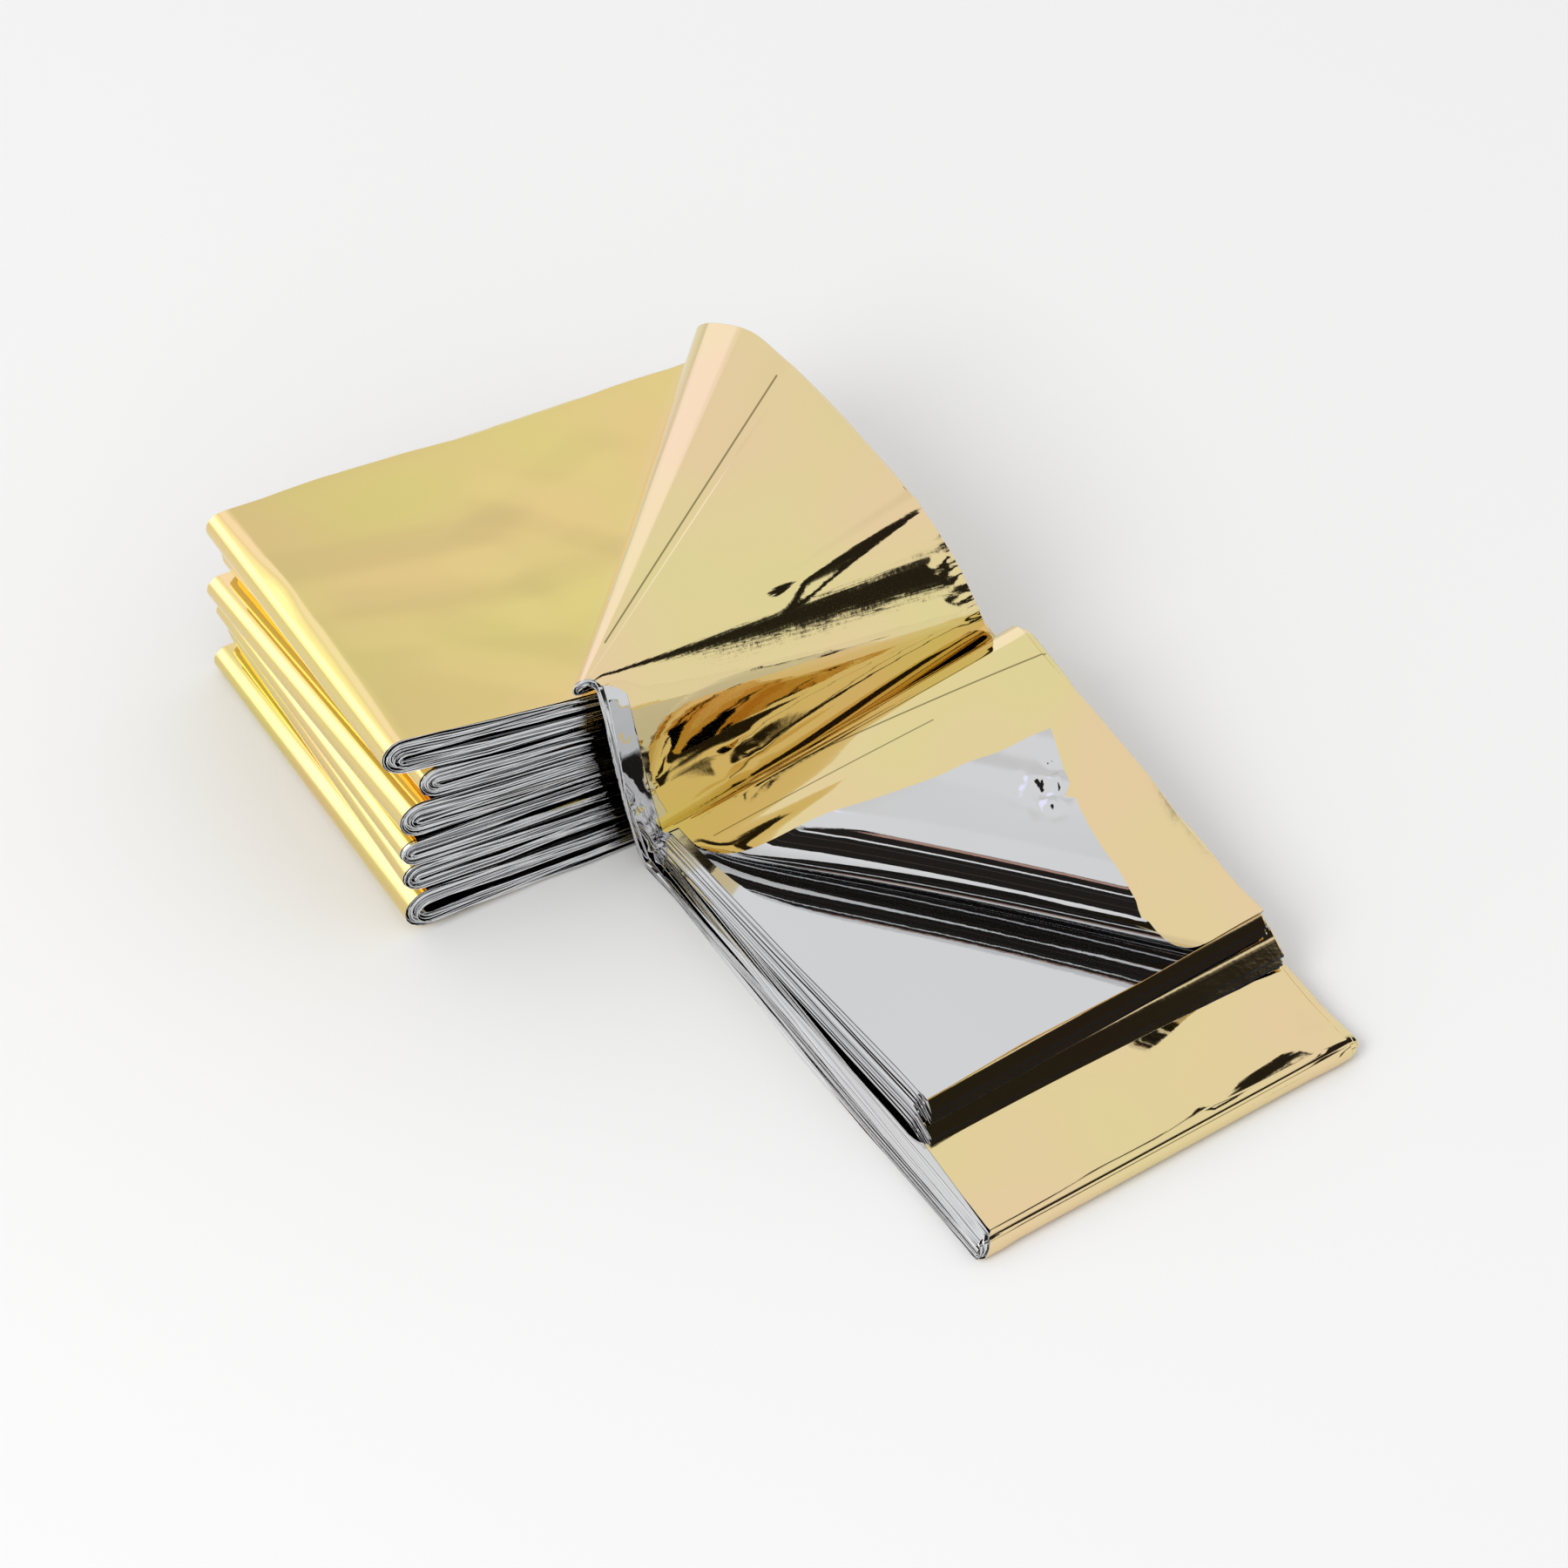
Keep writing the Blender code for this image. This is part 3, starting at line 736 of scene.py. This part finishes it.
# %% Where each point lies on the flat sheet
PLY_WIDTH = 89.0
UV_UNIT = 100.0               # millimetres in one unit of the film's map
uv_layer = sheet_mesh.loops.layers.uv.new("film")
across_sheet = ((PLIES - 1 - ply) + np.where(ply % 2 < 0.5, 1 - share, share)) * PLY_WIDTH
flat_place = np.column_stack((across_sheet, distance)) / UV_UNIT
for vertex, spot in zip(sheet_mesh.verts, flat_place):
    for loop in vertex.link_loops:
        loop[uv_layer].uv = spot
print("flat sheet:", np.ptp(flat_place, axis=0).round(2), "units")

# %% [markdown]
# A solidify modifier gives the sheet its second side in the second finish. Faces are shaded smooth, but the
# sheet's folds and borders stay sharp: averaged normals there would bend the mirror images of whole plies.

# %% Film thickness, one piece
for face in sheet_mesh.faces:
    face.smooth = True
for edge in sheet_mesh.edges:
    at_tip = [max(vertex[layers["tip"]] for vertex in face.verts) > 0.5 for face in edge.link_faces]
    edge.smooth = len(at_tip) == 2 and at_tip[0] == at_tip[1]
data = bpy.data.meshes.new("foil_sheet")
sheet_mesh.to_mesh(data)
sheet_mesh.free()
blanket = bpy.data.objects.new("foil_sheet", data)
bpy.context.scene.collection.objects.link(blanket)
film = blanket.modifiers.new("film", "SOLIDIFY")
film.thickness = FILM * MM
film.offset = 0.0
film.material_offset = 1
film.material_offset_rim = 1
print("triangles, both sides:", 2 * sum(len(p.vertices) - 2 for p in data.polygons))

# %% [markdown]
# Two finishes, one metal. Both sides of the film share the same fine ripple and the same faint drift of tint,
# so these are node groups with their own inputs, placed in each material with its own values.

# %% Node helpers
def new_group(name, inputs, outputs):
    group = bpy.data.node_groups.new(name, "ShaderNodeTree")
    for label, kind, value in inputs:
        socket = group.interface.new_socket(label, in_out="INPUT", socket_type=kind)
        socket.default_value = value
    for label, kind in outputs:
        group.interface.new_socket(label, in_out="OUTPUT", socket_type=kind)
    return group, group.nodes.new("NodeGroupInput"), group.nodes.new("NodeGroupOutput")


def wire(tree, *pairs):
    for source, target in pairs:
        tree.links.new(source, target)


def colour_mix(tree, factor, below, colour, blend_type="MIX"):
    """Paint a plain colour over another one, which is a plain colour or an output."""
    node = tree.nodes.new("ShaderNodeMix")
    node.data_type = "RGBA"
    node.blend_type = blend_type
    wire(tree, (factor, node.inputs["Factor"]))
    if isinstance(below, tuple):
        node.inputs["A"].default_value = (*below, 1)
    else:
        wire(tree, (below, node.inputs["A"]))
    node.inputs["B"].default_value = (*colour, 1)
    return node.outputs["Result"]


print("node helpers ready")

# %% Fine ripple and drift of tint
def film_ripple():
    """Height of the tiny ripples of stretched film, in metres."""
    group, given, out = new_group("film ripple", (
        ("Fine Size", "NodeSocketFloat", 900.0), ("Fine Height", "NodeSocketFloat", 0.000004),
        ("Broad Size", "NodeSocketFloat", 60.0), ("Broad Height", "NodeSocketFloat", 0.00005)),
        (("Height", "NodeSocketFloat"),))
    place = group.nodes.new("ShaderNodeTexCoord")
    total = None
    for size, height in (("Fine Size", "Fine Height"), ("Broad Size", "Broad Height")):
        noise = group.nodes.new("ShaderNodeTexNoise")
        noise.inputs["Detail"].default_value = 2.0
        scaled = group.nodes.new("ShaderNodeMath")
        scaled.operation = "MULTIPLY_ADD"
        scaled.inputs[2].default_value = 0.0
        wire(group, (place.outputs["Object"], noise.inputs["Vector"]),
             (given.outputs[size], noise.inputs["Scale"]),
             (noise.outputs["Fac"], scaled.inputs[0]), (given.outputs[height], scaled.inputs[1]))
        if total:
            wire(group, (total, scaled.inputs[2]))
        total = scaled.outputs[0]
    wire(group, (total, out.inputs["Height"]))
    return group


def film_tint():
    """The metal's colour drifts between two tints over some centimetres."""
    group, given, out = new_group("film tint", (
        ("Tint A", "NodeSocketColor", (1, 1, 1, 1)), ("Tint B", "NodeSocketColor", (1, 1, 1, 1)),
        ("Size", "NodeSocketFloat", 25.0)), (("Color", "NodeSocketColor"),))
    place = group.nodes.new("ShaderNodeTexCoord")
    noise = group.nodes.new("ShaderNodeTexNoise")
    noise.inputs["Detail"].default_value = 1.0
    spread = group.nodes.new("ShaderNodeMapRange")
    spread.inputs["From Min"].default_value = 0.35
    spread.inputs["From Max"].default_value = 0.65
    blend = group.nodes.new("ShaderNodeMix")
    blend.data_type = "RGBA"
    wire(group, (place.outputs["Object"], noise.inputs["Vector"]),
         (given.outputs["Size"], noise.inputs["Scale"]),
         (noise.outputs["Fac"], spread.inputs["Value"]), (spread.outputs["Result"], blend.inputs["Factor"]),
         (given.outputs["Tint A"], blend.inputs["A"]), (given.outputs["Tint B"], blend.inputs["B"]),
         (blend.outputs["Result"], out.inputs["Color"]))
    return group


print("ripple and tint ready")

# %% Painted shade along a crease
def film_crease_shade():
    """A mask for the painted shade along one crease, from Start to End in the part's plan."""
    group, given, out = new_group("film crease shade", (
        ("Start", "NodeSocketVector", (0, 0, 0)), ("End", "NodeSocketVector", (1, 0, 0)),
        ("Width", "NodeSocketFloat", 0.0004)), (("Mask", "NodeSocketFloat"),))

    def vector(operation, a, b):
        node = group.nodes.new("ShaderNodeVectorMath")
        node.operation = operation
        wire(group, (a, node.inputs[0]), (b, node.inputs["Scale" if operation == "SCALE" else 1]))
        return node.outputs["Value" if operation in ("DOT_PRODUCT", "DISTANCE") else "Vector"]

    place = group.nodes.new("ShaderNodeTexCoord").outputs["Object"]
    flat = group.nodes.new("ShaderNodeVectorMath")
    flat.operation = "MULTIPLY"
    flat.inputs[1].default_value = (1, 1, 0)
    wire(group, (place, flat.inputs[0]))
    plan = flat.outputs["Vector"]
    axis = vector("SUBTRACT", given.outputs["End"], given.outputs["Start"])
    offset = vector("SUBTRACT", plan, given.outputs["Start"])
    share = group.nodes.new("ShaderNodeMath")
    share.operation = "DIVIDE"
    share.use_clamp = True
    wire(group, (vector("DOT_PRODUCT", offset, axis), share.inputs[0]),
         (vector("DOT_PRODUCT", axis, axis), share.inputs[1]))
    nearest = vector("SCALE", axis, share.outputs[0])
    fall = group.nodes.new("ShaderNodeMapRange")
    fall.interpolation_type = "SMOOTHSTEP"
    fall.inputs["To Min"].default_value = 1.0
    fall.inputs["To Max"].default_value = 0.0
    wire(group, (vector("DISTANCE", offset, nearest), fall.inputs["Value"]),
         (given.outputs["Width"], fall.inputs["From Max"]), (fall.outputs["Result"], out.inputs["Mask"]))
    return group


ripple_group, tint_group, crease_shade_group = film_ripple(), film_tint(), film_crease_shade()
print("groups:", ripple_group.name, tint_group.name, crease_shade_group.name)

# %% Where the colour changes: painted crease shade and a warmer tint
# Painted shade: three creases that the film mirrors dark are painted dark along their lines
PAINTED_CREASE_SHADES = (
    # start, end, width, all in photo-plan mm
    ((-35.2, -14.6), (-1.5, 66.5), 0.3),
    ((-9.0, -15.5), (52.9, 10.5), 0.28),
    ((-14.0, -26.5), (30.0, -3.5), 0.2),
)
SHADE = (0.20, 0.17, 0.07)    # painted shade: the dark colour painted along a crease, standing for its shade and dark reflection
WARM_FROM, WARM_FULL = -0.036, -0.040    # where the warmer tint begins and is full, in metres


print("pressed creases:", len(PAINTED_CREASE_SHADES))

# %% The two finishes
def film_material(name, tint_a, tint_b, roughness, warm=None, crease_shades=()):
    material = bpy.data.materials.new(name)
    material.use_nodes = True
    tree = material.node_tree
    nodes = tree.nodes
    shader = nodes["Principled BSDF"]
    shader.inputs["Metallic"].default_value = 1.0
    shader.inputs["Roughness"].default_value = roughness
    tint = nodes.new("ShaderNodeGroup")
    tint.node_tree = tint_group
    tint.inputs["Tint A"].default_value = (*tint_a, 1)
    tint.inputs["Tint B"].default_value = (*tint_b, 1)
    ripple = nodes.new("ShaderNodeGroup")
    ripple.node_tree = ripple_group
    bump = nodes.new("ShaderNodeBump")
    bump.inputs["Strength"].default_value = 1.0
    bump.inputs["Distance"].default_value = 1.0
    colour = tint.outputs["Color"]
    if warm:        # the film on the stack's side of the plan gets a warmer tint than the opened part
        place = nodes.new("ShaderNodeTexCoord")
        side = nodes.new("ShaderNodeVectorMath")
        side.operation = "DOT_PRODUCT"
        side.inputs[1].default_value = (1.0, -0.2, 0.0)
        reach = nodes.new("ShaderNodeMapRange")
        reach.inputs["From Min"].default_value = WARM_FROM
        reach.inputs["From Max"].default_value = WARM_FULL
        wire(tree, (place.outputs["Object"], side.inputs[0]), (side.outputs["Value"], reach.inputs["Value"]))
        colour = colour_mix(tree, reach.outputs["Result"], colour, warm, "MULTIPLY")
    # painted shade along each crease line, standing for its shade and dark reflection
    for start, end, width in crease_shades:
        crease = nodes.new("ShaderNodeGroup")
        crease.node_tree = crease_shade_group
        crease.inputs["Start"].default_value = [(start[i] - ORIGIN[i]) * MM for i in (0, 1)] + [0]
        crease.inputs["End"].default_value = [(end[i] - ORIGIN[i]) * MM for i in (0, 1)] + [0]
        crease.inputs["Width"].default_value = width * MM
        colour = colour_mix(tree, crease.outputs["Mask"], colour, SHADE)
    wire(tree, (colour, shader.inputs["Base Color"]), (ripple.outputs["Height"], bump.inputs["Height"]),
         (bump.outputs["Normal"], shader.inputs["Normal"]))
    return material


gold = film_material("gold film", (0.78, 0.68, 0.33), (0.82, 0.64, 0.37), 0.04,
                     warm=(1.0, 0.98, 0.74), crease_shades=PAINTED_CREASE_SHADES)
silver = film_material("silver film", (0.68, 0.68, 0.69), (0.66, 0.67, 0.68), 0.04)
blanket.data.materials.append(gold)
blanket.data.materials.append(silver)
print("materials:", gold.name, "and", silver.name)

# %% [markdown]
# A mirror shows its room, so the room is half of the look: a bright ceiling and back, a pale floor, and the
# dark side where the camera stands, which the bends and rolls pick up as black bands with thin bright lines.
# It could be built from panels and lamps, but a painted world needs no objects and is easy to correct.

# %% Floor
FLOOR_FRONT = -0.26           # the paper ends here, so the roll mirrors a thin strip of it and then the dark
bpy.ops.mesh.primitive_plane_add(size=6.0)
floor = bpy.context.object
floor.name = "floor"
for corner in floor.data.vertices:
    corner.co.y = max(corner.co.y, FLOOR_FRONT)
paper = bpy.data.materials.new("paper")
paper.use_nodes = True
paper_look = paper.node_tree.nodes["Principled BSDF"].inputs
paper_look["Base Color"].default_value = (0.86, 0.86, 0.86, 1)
paper_look["Roughness"].default_value = 0.9
paper_look["Specular IOR Level"].default_value = 0.1
floor.data.materials.append(paper)
print("floor 6 m wide")

# %% Room helpers
world = bpy.data.worlds.new("studio")
bpy.context.scene.world = world
world.use_nodes = True
room, room_links = world.node_tree.nodes, world.node_tree.links


def room_math(operation, *values):
    """A Math node; each value is a number or an output."""
    node = room.new("ShaderNodeMath")
    node.operation = operation
    for slot, value in enumerate(values):
        if isinstance(value, (int, float)):
            node.inputs[slot].default_value = value
        else:
            room_links.new(value, node.inputs[slot])
    return node.outputs[0]


def room_range(value, low, high):
    """A smooth step from 0 at low to 1 at high; low may be the larger one."""
    node = room.new("ShaderNodeMapRange")
    node.interpolation_type = "SMOOTHSTEP"
    node.inputs["From Min"].default_value = low
    node.inputs["From Max"].default_value = high
    room_links.new(value, node.inputs["Value"])
    return node.outputs["Result"]


def room_window(value, low, high, soft):
    """One between low and high, with soft ends."""
    return room_math("MULTIPLY", room_range(value, low - soft, low + soft),
                     room_range(value, high + soft, high - soft))


def room_patch(across, up):
    """A patch with soft edges; across and up are each (angle, from, to, softness)."""
    return room_math("MULTIPLY", room_window(*across), room_window(*up))


def room_blend(factor, below, colour):
    return colour_mix(world.node_tree, factor, below, colour)


def room_noise(scale, height, detail=4.0):
    noise = room.new("ShaderNodeTexNoise")
    noise.inputs["Scale"].default_value = scale
    noise.inputs["Detail"].default_value = detail
    room_links.new(direction, noise.inputs["Vector"])
    return room_math("MULTIPLY_ADD", noise.outputs["Fac"], 2 * height, -height)


print("room helpers ready")

# %% Room: which way the reflections look
direction = room.new("ShaderNodeTexCoord").outputs["Generated"]
split = room.new("ShaderNodeSeparateXYZ")
room_links.new(direction, split.inputs[0])
DEGREE = 180 / pi
bearing = room_math("MULTIPLY", room_math("ARCTAN2", split.outputs["X"],
                                          room_math("MULTIPLY", split.outputs["Y"], -1.0)), DEGREE)
rise = room_math("MULTIPLY", room_math("ARCSINE", split.outputs["Z"]), DEGREE)
wavy_rise = room_math("ADD", rise, room_noise(5.0, 9.0))
wavy_bearing = room_math("ADD", bearing, room_noise(4.0, 16.0))
print("bearing runs from the camera's side (0) to the right (90)")

# %% [markdown]
# The room is painted in patches of bearing and rise, in degrees. Each patch is there for one place on the
# blanket that mirrors it, and wavy edges give the ragged outlines that slightly wavy film shows.

# %% Room: bright back and left
BRIGHT, LOW_BACK = (0.94, 0.94, 0.94), (0.80, 0.79, 0.78)
WINDOW, CORE, PANE = (1.4, 1.37, 1.34), (2.4, 2.3, 2.2), (1.15, 1.12, 1.38)

behind = room_range(room_math("ABSOLUTE", bearing), 100.0, 125.0)
colour = room_blend(room_math("MULTIPLY", room_range(rise, 42.0, 18.0), behind), BRIGHT, LOW_BACK)
left = room_math("MULTIPLY", room_window(bearing, -142.0, -82.0, 12.0), room_range(rise, 60.0, 30.0))
colour = room_blend(left, colour, WINDOW)
core = room_patch((bearing, -128.0, -92.0, 6.0), (rise, 10.0, 40.0, 6.0))     # glints on the left folds
colour = room_blend(core, colour, CORE)
pane = room_patch((bearing, -169.0, -148.0, 5.0), (rise, 4.0, 42.0, 4.0))     # the pale side of the roll
colour = room_blend(pane, colour, PANE)
print("back and left painted")

# %% Room: dark front and right
DARK = (0.020, 0.017, 0.015)
BEAM_TOP, BEAM_FROM, BEAM_TURN = 41.0, 58.5, 13.0     # the beam climbs to BEAM_TOP as it runs to the right
BEAM_BELOW, BEAM_ABOVE = -3.6, 3.2

# Where the camera stands: the black of the roll and of the stack's side
front_dark = room_math("MULTIPLY", room_window(wavy_bearing, -66.0, -20.0, 2.0),
                       room_range(wavy_rise, 68.0, 65.0))
colour = room_blend(front_dark, colour, DARK)
# An arc at the right: the bend's band near the pinched corner, and the cut end
arc = room_patch((wavy_bearing, 34.0, 72.0, 3.0), (wavy_rise, 44.0, 62.0, 1.5))
colour = room_blend(arc, colour, DARK)
# A beam that climbs to the right: the ragged band on the bend
turned = room_math("DIVIDE", room_math("SUBTRACT", BEAM_FROM, bearing), BEAM_TURN)
beam_rise = room_math("MULTIPLY_ADD", room_math("EXPONENT", turned), -BEAM_TOP, BEAM_TOP)
beam_offset = room_math("SUBTRACT", room_math("ADD", rise, room_noise(55.0, 3.0)), beam_rise)
beam = room_patch((beam_offset, BEAM_BELOW, BEAM_ABOVE, 0.8), (bearing, 60.0, 112.0, 1.0))
colour = room_blend(beam, colour, DARK)
# High up: the dark curves beside the end fold and on the upper layer
spot = room_patch((wavy_bearing, 78.0, 162.0, 3.0), (wavy_rise, 57.0, 76.0, 1.0))
colour = room_blend(spot, colour, DARK)
print("front and right painted")

# %% Room: thin lights in the dark front
# rise, half height, colour: the bright lines along the roll
SLITS = (
    (64.5, 2.6, (0.55, 0.33, 0.26)),
    (45.5, 1.8, (1.0, 1.0, 1.0)),
    (33.0, 0.4, (0.10, 0.09, 0.08)),
    (12.0, 0.4, (0.12, 0.08, 0.07)),
)
for height, half, tint in SLITS:
    slit = room_patch((rise, height - half, height + half, 0.5), (bearing, -60.0, -22.0, 4.0))
    colour = room_blend(slit, colour, tint)
room_links.new(colour, room["Background"].inputs["Color"])
room["Background"].inputs["Strength"].default_value = 1.0
print("room painted")

# %% Room: what the paper sees
# Only mirrored rays need the painted room. A plain dome lights the paper, and it renders much faster.
DOME = 0.85
dome = room.new("ShaderNodeBackground")
dome.inputs["Color"].default_value = (DOME, DOME, DOME, 1)
choose = room.new("ShaderNodeMixShader")
wire(world.node_tree, (room.new("ShaderNodeLightPath").outputs["Is Glossy Ray"], choose.inputs[0]),
     (dome.outputs[0], choose.inputs[1]), (room["Background"].outputs[0], choose.inputs[2]),
     (choose.outputs[0], room["World Output"].inputs["Surface"]))
print("dome of brightness", DOME)

# %% Lamp
def soft_lamp(name, location, size, power):
    """A soft lamp that casts shadows but isn't mirrored, because the room is what the film mirrors."""
    lamp = bpy.data.lights.new(name, "AREA")
    lamp.size = size
    lamp.energy = power
    holder = bpy.data.objects.new(name, lamp)
    holder.location = location
    aim = np.array(location) / np.linalg.norm(location)
    holder.rotation_euler = (np.arccos(aim[2]), 0, atan2(aim[1], aim[0]) + pi / 2)
    holder.visible_glossy = False
    bpy.context.scene.collection.objects.link(holder)
    return holder


lamp = soft_lamp("window", (-0.9, -1.05, 1.3), 0.9, 12.5)
print("one soft lamp:", lamp.name)

# %% [markdown]
# The camera stands where the photographer's did: about 47 degrees above the table, with a long lens.

# %% Camera
K = 0.1776 * MM               # one pixel of the photograph at the camera's target
REACH = 8100                  # the camera's distance in those pixels
LOOK_DOWN = radians(47.5)
camera_data = bpy.data.cameras.new("camera")
camera_data.sensor_width = 36.0
camera_data.lens = 36.0 * REACH / 1800
camera_data.clip_end = 20.0
camera = bpy.data.objects.new("camera", camera_data)
bpy.context.scene.collection.objects.link(camera)
target = -ORIGIN * MM
camera.location = target + REACH * K * np.array((0, -cos(LOOK_DOWN), sin(LOOK_DOWN)))
camera.rotation_euler = (pi / 2 - LOOK_DOWN, 0, 0)
bpy.context.scene.camera = camera
bpy.context.scene.view_settings.view_transform = "Standard"
print("camera at", [round(v, 3) for v in camera.location])

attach(blanket, "root")
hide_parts("foil_blanket")
